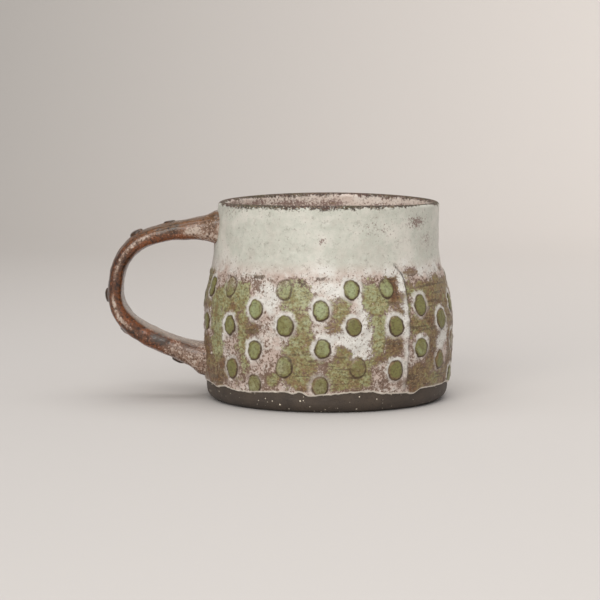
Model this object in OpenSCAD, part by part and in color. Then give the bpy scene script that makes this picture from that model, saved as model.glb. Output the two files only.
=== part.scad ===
// Hand-built stoneware mug: a slab base, a textured slab wall, a smooth collar, a strap handle
// and the glaze coats over them. +Z is up, the origin is the centre of the underside, and the
// handle points along -X.

/* [Body] */
// Height from the table to the top of the lip
body_h = 80; // [62:1:110]
// Outside radius of the textured wall at its fullest
belly_r = 50; // [44:0.5:60]
// Outside radius of the foot, carried down to the table
foot_r = 48.6; // [40:0.1:56]
// Outside radius at the top of the shoulder, where the collar straightens
neck_r = 45.1; // [38:0.1:55]
// Outside radius just under the lip
lip_r = 44.4; // [37:0.1:54]
// Height over which the foot flares out to the belly
flare_h = 24; // [12:1:32]
// Height of the straight part of the collar
neck_h = 16; // [8:1:24]
// Height over which the shoulder turns in
shoulder_h = 32; // [16:1:36]
// Height of the smooth collar band
collar_h = 26; // [14:1:32]

/* [Clay] */
// Thickness of the clay in the wall
wall_t = 3.4; // [2.4:0.1:5]
// Thickness of the clay at the lip
lip_t = 2; // [1.4:0.1:3]
// Thickness of the floor
floor_t = 7; // [6.5:0.1:9]
// How far the ledge that the wall stands on lies below the floor
ledge_drop = 1; // [0.5:0.1:1.5]
// Height of the rounded edge under the foot
edge_h = 4.6; // [2:0.1:4.8]
// Width of the rounded edge under the foot
edge_w = 4.8; // [2:0.1:8]
// Radius of the coil pressed into the corner of the floor
coil_r = 6; // [3:0.5:9]
// Height of the sloping joint between wall and collar
scarf_h = 4; // [2:0.5:7]

/* [Glaze] */
// Thickness of every glaze coat
glaze_t = 0.6; // [0.4:0.1:1]
// Height of the bare clay under the outer glaze
bare_h = 8; // [7:0.1:11]
// Gap between the coat on the wall and the coat on the handle
coat_gap = 0.1; // [0.05:0.05:0.5]

/* [Handle] */
// How far the middle of the strap stands out from the belly
reach = 35.2; // [28:0.1:45]
// Width of the strap
strap_w = 17; // [12:0.5:24]
// Thickness of the strap at its thinnest
strap_t = 4.8; // [4:0.1:7]
// Extra thickness half way down to the lower root
strap_swell = 1.6; // [0:0.1:3]
// Width of the flared roots
root_w = 20; // [14:0.5:26]
// Thickness of the flared roots
root_t = 11; // [8:0.1:13.2]
// Distance from the lip down to the middle of the upper root
upper_drop = 11.8; // [10.5:0.1:16]
// Height of the middle of the lower root
lower_z = 15.4; // [14:0.1:24]
// Diameter of a clay button on the strap
button_d = 5.4; // [3.5:0.1:7]
// How far a button stands out of the clay
button_h = 1.4; // [0.8:0.1:2.5]

/* [Hidden] */
$fn = 96;

// heights that the shells share, so that pieces that touch have the same points
seam_z = body_h - collar_h;
lip_z = body_h - glaze_t - lip_t / 2;
coil_z = floor_t + coil_r;
ledge_h = floor_t - ledge_drop;
wall_steps = 12;
collar_steps = 6;
levels = concat(
    [ledge_h, min(floor_t, bare_h)], floor_t == bare_h ? [] : [max(floor_t, bare_h)],
    [for (i = [0 : wall_steps]) coil_z + (seam_z - coil_z) * i / wall_steps],
    [for (i = [0 : collar_steps])
        seam_z + scarf_h + (lip_z - seam_z - scarf_h) * i / collar_steps]);
arc_step = 15;
tiny = 0.001;

// outside of the glazed mug: belly, less the foot's flare, less the shoulder's turn
function ease(u) = (1 - cos(180 * min(1, max(0, u)))) / 2;
shoulder_top = body_h - neck_h;
function lean(z) = (neck_r - lip_r) * max(0, z - shoulder_top) / neck_h;
function turn_in(z) = (belly_r - neck_r) * ease((z - shoulder_top + shoulder_h) / shoulder_h);
function flare(z) = (belly_r - foot_r) * pow(max(0, 1 - z / flare_h), 2);
function skin_r(z) = belly_r - flare(z) - turn_in(z) - lean(z);
function clay_r(z) = skin_r(z) - glaze_t;
function clay_t(z) = wall_t + (lip_t - wall_t) * max(0, z - seam_z) / (lip_z - seam_z);
function inner_r(z) = clay_r(z) - clay_t(z);

lip_mid = clay_r(lip_z) - lip_t / 2;
wall_line = [for (z = levels) [z, inner_r(z)]];
// hollow face of the corner coil, from the wall down to the floor, moved into the cup by grow
function coil_face(grow = 0) =
    [for (t = [arc_step : arc_step : 90]) let (z = coil_z - coil_r * sin(t))
        [lookup(z, wall_line) - coil_r * (1 - cos(t)) - grow * cos(t), z + grow * sin(t)]];

// points of a shell face from height a to height b, pushed out by grow
function outer_face(a, b, grow = 0) =
    [for (z = levels) if (z > a - tiny && z < b + tiny) [clay_r(z) + grow, z]];
function inner_face(a, b, grow = 0) =
    [for (i = [len(levels) - 1 : -1 : 0])
        if (levels[i] > a - tiny && levels[i] < b + tiny)
            [inner_r(levels[i]) - grow, levels[i]]];
function arc(x, z, r, a, b, step = arc_step) =
    [for (t = [a : (a < b ? step : -step) : b]) [x + r * cos(t), z + r * sin(t)]];
function flip(list) = [for (i = [len(list) - 1 : -1 : 0]) list[i]];

// strap: two cubic curves that meet at the outermost point
upper_z = body_h - upper_drop;
mid_z = (upper_z + lower_z) / 2 + 1;
bury = 6;
out_x = -belly_r - reach;
top_x = -skin_r(upper_z) + bury;
low_x = -skin_r(lower_z) + bury;
upper_curve = [[top_x, upper_z + 0.6], [top_x - 26, upper_z - 0.6],
               [out_x, upper_z - 0.8], [out_x, mid_z]];
lower_curve = [[out_x, mid_z], [out_x, mid_z - 16], [out_x + 16, lower_z + 8], [low_x, lower_z - 1.6]];
function cubic(c, t) = pow(1 - t, 3) * c[0] + 3 * t * pow(1 - t, 2) * c[1]
    + 3 * t * t * (1 - t) * c[2] + pow(t, 3) * c[3];
function strap_at(s) = s < 1 ? cubic(upper_curve, s) : cubic(lower_curve, s - 1);
function heading(s) = let (d = strap_at(min(2, s + 0.01)) - strap_at(max(0, s - 0.01))) d / norm(d);
// share of the root's flare: 1 inside the wall, falling to 0 along the strap
at_wall = 0.08;
flare_power = 7;
function root_share(s) = pow(min(1, abs(s - 1) / (1 - at_wall)), flare_power);
function swell_at(s) = strap_swell * (s < 1 ? 0.4 : 1) * pow(sin(180 * s), 2);
function thick_at(s) = strap_t + (root_t - strap_t) * root_share(s) + swell_at(s);
function wide_at(s) = strap_w + (root_w - strap_w) * root_share(s);
strap_rings = 40;
strap_sides = 20;
corner_power = 0.62;
function bulge(v) = sign(v) * pow(abs(v), corner_power);
// the strap's cut across, a rounded oblong: thickness along the first axis, width along the second
function section(s, grow) = [for (k = [0 : strap_sides - 1]) let (a = 360 * (k + 0.5) / strap_sides)
    [(thick_at(s) / 2 + grow) * bulge(cos(a)), (wide_at(s) / 2 + grow) * bulge(sin(a))]];
function ring_at(s, grow) = let (p = strap_at(s), h = heading(s))
    [for (c = section(s, grow)) [p[0] + h[1] * c[0], c[1], p[1] - h[0] * c[0]]];

// places of the buttons along the strap, from the upper root (0) to the lower root (2)
button_places = [0.34, 0.57, 1.03, 1.36, 1.79];

// the skin between two neighbouring rings, as triangles, for rings that start at point first
function between_rings(first) =
    [for (i = [0 : strap_rings - 1]) for (k = [0 : strap_sides - 1])
        let (a = first + i * strap_sides + k, b = first + i * strap_sides + (k + 1) % strap_sides)
        for (half = [0, 1])
            half == 0 ? [a, b, b + strap_sides] : [a, b + strap_sides, a + strap_sides]];
function strap_points(grow) = [for (i = [0 : strap_rings]) each ring_at(2 * i / strap_rings, grow)];

module strap_solid() {
    first = [for (k = [strap_sides - 1 : -1 : 0]) k];
    last = [for (k = [0 : strap_sides - 1]) strap_rings * strap_sides + k];
    polyhedron(strap_points(0), concat([first], between_rings(0), [last]), convexity = 6);
}

// the coat round the strap, a thick-walled tube
module strap_tube() {
    inner = (strap_rings + 1) * strap_sides;
    last = strap_rings * strap_sides;
    ends = [for (k = [0 : strap_sides - 1]) let (m = (k + 1) % strap_sides)
        each [[m, k, inner + k], [m, inner + k, inner + m],
            [last + k, last + m, inner + last + m], [last + k, inner + last + m, inner + last + k]]];
    inside = [for (f = between_rings(inner)) [f[2], f[1], f[0]]];
    polyhedron(concat(strap_points(glaze_t), strap_points(0)),
        concat(between_rings(0), inside, ends), convexity = 8);
}

// the mug's clay as one plug, which trims the strap's ends to the wall
module clay_plug() {
    rotate_extrude()
        polygon(concat([[0, ledge_h]], outer_face(ledge_h, lip_z), [[0, lip_z]]));
}

module button_row() {
    for (s = button_places) {
        p = strap_at(s);
        h = heading(s);
        translate([p[0], 0, p[1]])
            rotate([0, atan2(h[1], -h[0]), 0])
                translate([0, 0, thick_at(s) / 2])
                    cylinder(h = button_h, d = button_d, $fn = 32);
    }
}

// the holes through the coats on the wall, where the two roots meet the clay
module root_holes() {
    for (s = [at_wall, 2 - at_wall]) {
        p = strap_at(s);
        h = heading(s);
        translate([p[0], 0, p[1]])
            rotate([0, atan2(h[0], h[1]), 0])
                translate([0, 0, -bury])
                    linear_extrude(2 * bury)
                        polygon(section(s, glaze_t + coat_gap));
    }
}

module base_slab() {
    rim = clay_r(edge_h);
    foot = [for (a = [0 : arc_step : 90])
        [rim - edge_w * (1 - sin(a)), edge_h * (1 - cos(a))]];
    color("#3f3833")
        rotate_extrude()
            polygon(concat([[0, 0]], foot, [[clay_r(ledge_h), ledge_h]],
                flip(inner_face(ledge_h, floor_t)), [[0, floor_t]]));
}

module wall_slab() {
    color("#6d5a49")
        rotate_extrude()
            polygon(concat(outer_face(ledge_h, seam_z), inner_face(ledge_h, seam_z + scarf_h)));
}

module collar_band() {
    color("#7d6b5a")
        rotate_extrude()
            polygon(concat([[clay_r(seam_z), seam_z]], outer_face(seam_z + scarf_h, lip_z),
                arc(lip_mid, lip_z, lip_t / 2, arc_step, 180 - arc_step),
                inner_face(seam_z + scarf_h, lip_z)));
}

module corner_coil() {
    color("#5a4c40")
        rotate_extrude()
            polygon(concat(flip(inner_face(floor_t, coil_z)), coil_face()));
}

module handle() {
    color("#5b3423")
        difference() {
            strap_solid();
            clay_plug();
        }
}

module handle_buttons() {
    color("#4a2c1e")
        button_row();
}

module liner_glaze() {
    face = concat(arc(lip_mid, lip_z, lip_t / 2, 90, 180 - arc_step), inner_face(coil_z, lip_z),
        coil_face(), [[0, floor_t]]);
    wet = concat(arc(lip_mid, lip_z, lip_t / 2 + glaze_t, 90, 180 - arc_step),
        inner_face(coil_z, lip_z, glaze_t), coil_face(glaze_t), [[0, floor_t + glaze_t]]);
    color("#cbb9b0")
        rotate_extrude()
            polygon(concat(face, flip(wet)));
}

module wall_glaze() {
    color("#b9bda6")
        difference() {
            rotate_extrude()
                polygon(concat(outer_face(bare_h, seam_z, glaze_t), flip(outer_face(bare_h, seam_z))));
            root_holes();
        }
}

module collar_glaze() {
    inside = concat([[clay_r(seam_z), seam_z]], outer_face(seam_z + scarf_h, lip_z),
        arc(lip_mid, lip_z, lip_t / 2, arc_step, 90));
    outside = concat([[skin_r(seam_z), seam_z]], outer_face(seam_z + scarf_h, lip_z, glaze_t),
        arc(lip_mid, lip_z, lip_t / 2 + glaze_t, arc_step, 90));
    color("#c9d0c4")
        difference() {
            rotate_extrude()
                polygon(concat(outside, flip(inside)));
            root_holes();
        }
}

module handle_glaze() {
    color("#6b3a24")
        difference() {
            strap_tube();
            clay_plug();
            button_row();
        }
}

base_slab();
wall_slab();
collar_band();
corner_coil();
handle();
handle_buttons();
liner_glaze();
wall_glaze();
collar_glaze();
handle_glaze();
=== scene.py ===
import math

import bpy
import numpy as np
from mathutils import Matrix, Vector, noise


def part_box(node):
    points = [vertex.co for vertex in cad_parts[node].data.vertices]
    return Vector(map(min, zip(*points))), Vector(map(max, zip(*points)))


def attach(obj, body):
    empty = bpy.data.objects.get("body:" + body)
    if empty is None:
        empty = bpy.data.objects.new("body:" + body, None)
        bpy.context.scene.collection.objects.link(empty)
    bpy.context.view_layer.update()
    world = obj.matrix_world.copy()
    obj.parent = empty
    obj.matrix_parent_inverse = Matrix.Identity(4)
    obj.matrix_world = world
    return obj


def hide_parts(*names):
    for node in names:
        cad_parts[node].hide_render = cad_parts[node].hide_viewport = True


# A hand-built stoneware mug: dark bare foot, dotted slab wall under layered glaze, smooth
# pale collar and a rust-brown strap handle. Shapes are worked out in millimetres.
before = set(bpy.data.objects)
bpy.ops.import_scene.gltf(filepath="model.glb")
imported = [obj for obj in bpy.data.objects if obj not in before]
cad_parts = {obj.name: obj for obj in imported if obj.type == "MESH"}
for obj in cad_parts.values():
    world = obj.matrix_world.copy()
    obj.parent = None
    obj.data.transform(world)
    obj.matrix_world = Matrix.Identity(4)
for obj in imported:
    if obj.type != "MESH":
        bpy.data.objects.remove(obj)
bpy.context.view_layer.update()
mm = 0.001


def cadSpan(node):
    low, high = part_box(node)
    return np.array(low) / mm, np.array(high) / mm


# heights and radii the frame gives, and the curves between them
form = dict(
    topZ=cadSpan("liner_glaze")[1][2],
    floorZ=cadSpan("base_slab")[1][2],
    ledgeZ=cadSpan("wall_slab")[0][2],
    seamZ=cadSpan("collar_glaze")[0][2],
    bellyR=cadSpan("wall_glaze")[1][0],
    footR=48.6, neckR=45.1, lipR=44.4,      # outside radii down to the lip
    flareH=24, neckH=16, shoulderH=32,      # heights over which they change
    wallT=3.4, lipT=2.0, glazeT=0.6,        # clay in the wall, clay at the lip, any glaze
    edgeH=4.6, edgeW=4.8, coilR=6, scarfH=4,
    arcR=48.5,                              # where distances round the wall are measured
    leanX=[-0.4, 0.0, 0.4, 0.1, -0.4, -0.1, 0.5],   # how the hand-built body wanders
    leanZ=[0, 14, 30, 45, 60, 70, 80],
    rimDip=0.5,                             # the rim hangs lower at the sides
)


def clamp01(x):
    return np.clip(x, 0, 1)


# values at places, joined by curves that are level at each place
def eased(x, places, values):
    x = np.asarray(x, float)
    i = np.clip(np.searchsorted(places, x, side="right") - 1, 0, len(places) - 2)
    at, v = np.asarray(places, float), np.asarray(values, float)
    u = clamp01((x - at[i]) / (at[i + 1] - at[i]))
    return v[i] + (v[i + 1] - v[i]) * u * u * (3 - 2 * u)


def skinR(z):
    z = np.asarray(z, float)
    top = form["topZ"] - form["neckH"]
    turn = (1 - np.cos(np.pi * clamp01((z - top + form["shoulderH"]) / form["shoulderH"]))) / 2
    return (form["bellyR"] - (form["bellyR"] - form["footR"]) * np.maximum(0, 1 - z / form["flareH"]) ** 2
            - (form["bellyR"] - form["neckR"]) * turn
            - (form["neckR"] - form["lipR"]) * np.maximum(0, z - top) / form["neckH"])


def clayR(z):
    return skinR(z) - form["glazeT"]


lipZ = form["topZ"] - form["glazeT"] - form["lipT"] / 2


def innerR(z):
    z = np.asarray(z, float)
    thin = np.maximum(0, z - form["seamZ"]) / (lipZ - form["seamZ"])
    return clayR(z) - form["wallT"] - (form["lipT"] - form["wallT"]) * thin


lipMid = float(clayR(lipZ)) - form["lipT"] / 2


# points of the body, in mm, from the angle off the front (towards +X), height and radius
def onBody(angle, z, r):
    angle, z, r = np.broadcast_arrays(np.radians(np.asarray(angle, float)), z, r)
    high = clamp01(z / 30)
    lobes = high * (0.16 * np.sin(2 * angle + 0.6) + 0.13 * np.sin(3 * angle - 1 + z / 40)
                    + 0.08 * np.sin(5 * angle + z / 17))
    rim = clamp01((z - 50) / 30) ** 2
    x = eased(z, form["leanZ"], form["leanX"]) + (r + lobes * clamp01(r / 20)) * np.sin(angle)
    y = -(r + lobes * clamp01(r / 20)) * np.cos(angle)
    return np.stack([x, y, z - form["rimDip"] * rim * (1 - np.cos(2 * angle))], -1)


# soft noise of about -1 to 1 at points in mm, with lumps of that size
def lumpy(points, size, octaves=1, shift=0.0):
    flat = (np.asarray(points, float).reshape(-1, 3) / size + shift).tolist()
    values = [noise.fractal(p, 1.0, 2.0, octaves, noise_basis="PERLIN_NEW") for p in flat]
    return np.array(values).reshape(np.shape(points)[:-1]) * 1.6


def rampUp(x, low, high):
    u = clamp01((x - low) / (high - low))
    return u * u * (3 - 2 * u)


# a closed mesh from blocks of rings in mm; marks are values painted on its points
def makePiece(name, blocks, material, node, marks=None, loop=True, sharp=50):
    allPoints, faces, faceUv, first = [], [], [], 0
    for rings in blocks:
        rows, around = rings.shape[:2]
        points = rings.reshape(-1, 3)
        last = rows if loop else rows - 1
        r, c = np.meshgrid(np.arange(last), np.arange(around), indexing="ij")
        quads = np.stack([r * around + c, r * around + (c + 1) % around,
                          (r + 1) % rows * around + (c + 1) % around, (r + 1) % rows * around + c], -1)
        steps = np.linalg.norm(np.roll(rings, -1, 0) - rings, axis=-1).mean(1)
        v = np.concatenate([[0], np.cumsum(steps[:last])])
        v /= v[-1]
        uv = np.stack([np.stack([c / around, v[r]], -1), np.stack([(c + 1) / around, v[r]], -1),
                       np.stack([(c + 1) / around, v[r + 1]], -1), np.stack([c / around, v[r + 1]], -1)], 2)
        quads, uv = quads.reshape(-1, 4), uv.reshape(-1, 4, 2)
        blockFaces, blockUv = quads.tolist(), uv.tolist()
        if not loop:
            points = np.vstack([points, rings[0].mean(0), rings[-1].mean(0)])
            low, high = rows * around, rows * around + 1
            for k in range(around):
                m, u = (k + 1) % around, k / around
                blockFaces += [[m, k, low], [(rows - 1) * around + k, (rows - 1) * around + m, high]]
                blockUv += [[[u, 0], [u, 0.01], [u + 0.01, 0]], [[u, 1], [u, 0.99], [u + 0.01, 1]]]
        a, b, c, d = (points[quads[:, k]] for k in range(4))
        if (a * (np.cross(b, c) + np.cross(c, d))).sum() < 0:      # faces look inwards: turn them
            blockFaces = [f[::-1] for f in blockFaces]
            blockUv = [f[::-1] for f in blockUv]
        faces += [[i + first for i in f] for f in blockFaces]
        faceUv += blockUv
        allPoints.append(points)
        first += len(points)
    mesh = bpy.data.meshes.new(name)
    mesh.from_pydata((np.vstack(allPoints) * mm).tolist(), [], faces)
    layer = mesh.uv_layers.new(name="OFBake")
    layer.data.foreach_set("uv", np.array([x for f in faceUv for pair in f for x in pair], np.float32))
    for mark, values in (marks or {}).items():
        full = np.zeros(first, np.float32)
        full[:values.size] = values.ravel()
        mesh.attributes.new(mark, "FLOAT", "POINT").data.foreach_set("value", full)
    mesh.shade_smooth()
    mesh.set_sharp_from_angle(angle=math.radians(sharp))
    mesh.materials.append(material)
    piece = bpy.data.objects.new(name, mesh)
    bpy.context.scene.collection.objects.link(piece)
    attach(piece, "root")
    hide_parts(node)
    print(f"{name}: {len(mesh.vertices)} points, {len(mesh.loops) - 2 * len(mesh.polygons)} triangles")


# rings of a turned shape from its outline of (radius, height)
def turned(outline, around=240):
    outline = np.array(outline, float)
    angle = np.arange(around) * 360 / around
    return onBody(angle[None, :], outline[:, 1:2], outline[:, 0:1])


def arc(x, z, r, a, b, steps=8):
    t = np.radians(np.linspace(a, b, steps + 1))
    return [(x + r * math.cos(u), z + r * math.sin(u)) for u in t]


def face(radius, a, b, steps=24, grow=0.0):
    return [(float(radius(z)) + grow, z) for z in np.linspace(a, b, steps + 1)]


# a linear colour from its sRGB hex value
def sRgb(text):
    parts = [int(text[i:i + 2], 16) / 255 for i in (1, 3, 5)]
    return [c / 12.92 if c <= 0.04045 else ((c + 0.055) / 1.055) ** 2.4 for c in parts] + [1.0]


# adds a node, sets it, links sockets given as inputs, and gives back its output
def addNode(tree, kind, inputs=None, stops=None, out=0, **settings):
    node = tree.nodes.new("ShaderNode" + kind)
    for name, value in settings.items():
        setattr(node, name, value)
    for name, value in (inputs or {}).items():
        if isinstance(value, bpy.types.NodeSocket):
            tree.links.new(value, node.inputs[name])
        else:
            node.inputs[name].default_value = sRgb(value) if isinstance(value, str) else value
    for i, (place, colour) in enumerate(stops or []):
        stop = node.color_ramp.elements[i] if i < 2 else node.color_ramp.elements.new(place)
        stop.position, stop.color = place, sRgb(colour)
    return node.outputs[out] if node.outputs else node


def newMaterial(name):
    material = bpy.data.materials.new(name)
    material.use_nodes = True
    material.node_tree.nodes.clear()
    tree = material.node_tree
    return material, tree, addNode(tree, "TexCoord", out="Object")


# bump, shader and output from a finish: depth of its bump in mm, the bump's strength
def finishMaterial(tree, colour, height, finish, inputs):
    bump = addNode(tree, "Bump", {"Height": height, "Distance": finish["bumpDepth"] * mm,
                                  "Strength": finish["bumpStrength"]})
    shader = addNode(tree, "BsdfPrincipled", {"Base Color": colour, "Normal": bump, **inputs})
    addNode(tree, "OutputMaterial", {"Surface": shader})


# texture scale for features that many millimetres apart
def perMm(size):
    return 1 / (size * mm)


# values painted on a piece's points, by name
def paintedOn(tree, *names):
    return {name: addNode(tree, "Attribute", out="Fac", attribute_name=name) for name in names}


bareClay = dict(
    dark="#3c332c", mid="#4f4338", iron="#2c2521", speckColour="#e2d6c2",
    grain=0.5, cloud=9, speckEvery=1.35, speckSize=0.14, ironEvery=1.3,     # mm
    bumpDepth=0.12, bumpStrength=0.5, roughness=0.62,
)


def bareStoneware():
    # iron-rich stoneware, sponged and fired bare: nearly black-brown, dull, with pale grog specks
    clay, tree, at = newMaterial("bareIronStoneware")
    cloud = addNode(tree, "TexNoise", {"Vector": at, "Scale": perMm(bareClay["cloud"]), "Detail": 5})
    grain = addNode(tree, "TexNoise", {"Vector": at, "Scale": perMm(bareClay["grain"]), "Detail": 2})
    tone = addNode(tree, "Math", {0: cloud, 1: addNode(tree, "Math", {0: grain, 1: 0.5},
                   operation="MULTIPLY")}, operation="ADD")
    body = addNode(tree, "ValToRGB", {"Fac": tone}, stops=[
        (0.5, bareClay["dark"]), (0.95, bareClay["mid"])])
    speck = addNode(tree, "TexVoronoi", {"Vector": at, "Scale": perMm(bareClay["speckEvery"])})
    size = addNode(tree, "Math", {0: speck.node.outputs["Color"], 1: 3.0}, operation="POWER")
    size = addNode(tree, "Math", {0: size, 1: bareClay["speckSize"] * 2.4}, operation="MULTIPLY")
    near = addNode(tree, "Math", {0: size, 1: speck}, operation="SUBTRACT")
    white = addNode(tree, "MapRange", {"Value": near, "From Min": 0.0, "From Max": 0.03})
    iron = addNode(tree, "TexVoronoi", {"Vector": at, "Scale": perMm(bareClay["ironEvery"])})
    dark = addNode(tree, "MapRange", {"Value": iron, "From Min": 0.3, "From Max": 0.1, "To Max": 0.5})
    body = addNode(tree, "MixRGB", {"Fac": dark, "Color1": body, "Color2": bareClay["iron"]})
    body = addNode(tree, "MixRGB", {"Fac": white, "Color1": body, "Color2": bareClay["speckColour"]})
    finishMaterial(tree, body, grain, bareClay, {"Roughness": bareClay["roughness"]})
    return clay


# the colours of the fired glazes
paint = dict(
    green="#9fa27c", olive="#857d4f", deepGreen="#6f6c3c",
    brown="#836a4a", umber="#46331f", rust="#7a4b2e",
    white="#ccc3ba", cool="#d4d1ca", pink="#bba89d", speck="#6c5342", bead="#dbd2c5",
    collarGreen="#c0c1b5", collarPale="#d5d0c6", collarGrey="#bcb7ac", scratch="#6f6559",
    dotGreen="#959d72", dotOlive="#7a7645",
    lipBrown="#2c1a0b", lipOlive="#32290a", lipPurple="#3b1f19", lipFleck="#a08a70",
    stain="#755a52", slitShade="#3f382e", bare="#b5a887", hidden="#6f5637", drag="#43301d",
    liner="#ded4ca", linerPink="#cbb9ad", linerBrown="#6a5544",
)
# how uneven every coat is; real grains are 0.1 to 0.3 mm, drawn near 1 mm so that they show
glazeGrains = dict(fine=0.85, mid=2.6, whiteCloud=7)


# thick white glaze: cool where smooth, pinkish and gritty where it thins
def whiteGlaze(tree, at, fine, mid, grit=None, cool=None):
    broad = addNode(tree, "TexNoise", {"Vector": at, "Scale": perMm(glazeGrains["whiteCloud"]),
                                       "Detail": 5, "Roughness": 0.7})
    if cool:
        broad = addNode(tree, "Math", {0: broad, 1: cool}, operation="ADD")
    white = addNode(tree, "ValToRGB", {"Fac": broad}, stops=[
        (0.38, paint["pink"]), (0.62, paint["cool"]), (0.5, paint["white"])])
    grains = addNode(tree, "Math", {0: fine, 1: mid}, operation="ADD")
    if grit:
        grains = addNode(tree, "Math", {0: grains, 1: grit}, operation="ADD")
    grains = addNode(tree, "MapRange", {"Value": grains, "From Min": 1.1, "From Max": 1.19, "To Max": 0.9})
    return addNode(tree, "MixRGB", {"Fac": grains, "Color1": white, "Color2": paint["speck"]})


celadon = dict(
    cloud=14, crackle=1.9, crackleBend=2, cracklePlace=4, peel=2.2,     # mm
    lowerEdge=(0.062, 0.053),           # heights in m between which it fades into the wall's white
    bumpDepth=0.16, bumpStrength=0.5, roughness=(0.3, 0.44), lipRoughness=0.5, ior=1.5,
)


# the pale satin glaze of the collar, the same on both coats that meet under it
def collarColour(tree, at, fine, mid):
    cloud = addNode(tree, "TexNoise", {"Vector": at, "Scale": perMm(celadon["cloud"]),
                                       "Detail": 6, "Roughness": 0.7})
    colour = addNode(tree, "ValToRGB", {"Fac": cloud}, stops=[
        (0.3, paint["collarGrey"]), (0.66, paint["collarPale"]), (0.48, paint["collarGreen"])])
    milky = addNode(tree, "MapRange", {"Value": mid, "From Min": 0.45, "From Max": 0.68, "To Max": 0.6})
    colour = addNode(tree, "MixRGB", {"Fac": milky, "Color1": colour, "Color2": paint["collarPale"]})
    # short dark marks where the crackle has taken colour, only in some places
    bent = addNode(tree, "TexNoise", {"Vector": at, "Scale": perMm(celadon["crackleBend"]), "Detail": 3},
                   out="Color")
    bent = addNode(tree, "MixRGB", {"Fac": 0.003, "Color1": at, "Color2": bent})
    crack = addNode(tree, "TexVoronoi", {"Vector": bent, "Scale": perMm(celadon["crackle"])},
                    feature="DISTANCE_TO_EDGE")
    crack = addNode(tree, "MapRange", {"Value": crack, "From Min": 0.13, "From Max": 0.04})
    where = addNode(tree, "TexNoise", {"Vector": at, "Scale": perMm(celadon["cracklePlace"]),
                                       "Detail": 6, "Roughness": 0.8})
    where = addNode(tree, "MapRange", {"Value": where, "From Min": 0.53, "From Max": 0.69, "To Max": 0.62})
    crack = addNode(tree, "Math", {0: crack, 1: where}, operation="MULTIPLY")
    colour = addNode(tree, "MixRGB", {"Fac": crack, "Color1": colour, "Color2": paint["scratch"]})
    dust = addNode(tree, "Math", {0: fine, 1: where}, operation="MULTIPLY")
    dust = addNode(tree, "MapRange", {"Value": dust, "From Min": 0.2, "From Max": 0.5, "To Max": 0.5})
    colour = addNode(tree, "MixRGB", {"Fac": dust, "Color1": colour, "Color2": paint["scratch"]})
    # lower down it runs over the white glaze of the wall
    height = addNode(tree, "SeparateXYZ", {"Vector": at}, out="Z")
    height = addNode(tree, "MapRange", {"Value": height, "From Min": celadon["lowerEdge"][0],
                                        "From Max": celadon["lowerEdge"][1], "To Max": 0.75})
    height = addNode(tree, "Math", {0: height, 1: cloud}, operation="ADD")
    below = addNode(tree, "MapRange", {"Value": height, "From Min": 0.75, "From Max": 1.15})
    low = whiteGlaze(tree, at, fine, mid)
    return addNode(tree, "MixRGB", {"Fac": below, "Color1": colour, "Color2": low}), crack


lipCoat = dict(grain=0.9, fleck=0.55, tint=11)      # mm; real grains are finer, as above


# brown where the glaze runs thin over the lip, and the stains painted on the points
def lipAndStains(tree, at, colour):
    painted = paintedOn(tree, "lip", "stain")
    grain = addNode(tree, "TexNoise", {"Vector": at, "Scale": perMm(lipCoat["grain"]),
                                       "Detail": 4, "Roughness": 0.75})
    spread = addNode(tree, "Math", {0: grain, 1: 2.8, 2: painted["lip"]}, operation="MULTIPLY_ADD")
    lipCover = addNode(tree, "MapRange", {"Value": spread, "From Min": 1.72, "From Max": 2.1,
                                          "To Max": 0.96})
    tint = addNode(tree, "TexNoise", {"Vector": at, "Scale": perMm(lipCoat["tint"]), "Detail": 3})
    tint = addNode(tree, "ValToRGB", {"Fac": tint}, stops=[
        (0.38, paint["lipPurple"]), (0.62, paint["lipOlive"]), (0.5, paint["lipBrown"])])
    flecks = addNode(tree, "TexNoise", {"Vector": at, "Scale": perMm(lipCoat["fleck"]),
                                        "Detail": 2, "Roughness": 0.6})
    flecks = addNode(tree, "MapRange", {"Value": flecks, "From Min": 0.55, "From Max": 0.64, "To Max": 0.7})
    tint = addNode(tree, "MixRGB", {"Fac": flecks, "Color1": tint, "Color2": paint["lipFleck"]})
    colour = addNode(tree, "MixRGB", {"Fac": lipCover, "Color1": colour, "Color2": tint})
    spread = addNode(tree, "Math", {0: grain, 1: 2.6, 2: painted["stain"]}, operation="MULTIPLY_ADD")
    cover = addNode(tree, "MapRange", {"Value": spread, "From Min": 1.63, "From Max": 1.9, "To Max": 0.88})
    deep = addNode(tree, "MapRange", {"Value": painted["stain"], "From Min": 0.67, "From Max": 0.74})
    tint = addNode(tree, "MixRGB", {"Fac": deep, "Color1": paint["stain"], "Color2": paint["hidden"]})
    return addNode(tree, "MixRGB", {"Fac": cover, "Color1": colour, "Color2": tint}), lipCover


# fine and middling unevenness that the outer coats share
def glazeGrain(tree, at):
    return (addNode(tree, "TexNoise", {"Vector": at, "Scale": perMm(glazeGrains["fine"]),
                                       "Detail": 3, "Roughness": 0.7}),
            addNode(tree, "TexNoise", {"Vector": at, "Scale": perMm(glazeGrains["mid"]),
                                       "Detail": 6, "Roughness": 0.75}))


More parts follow.
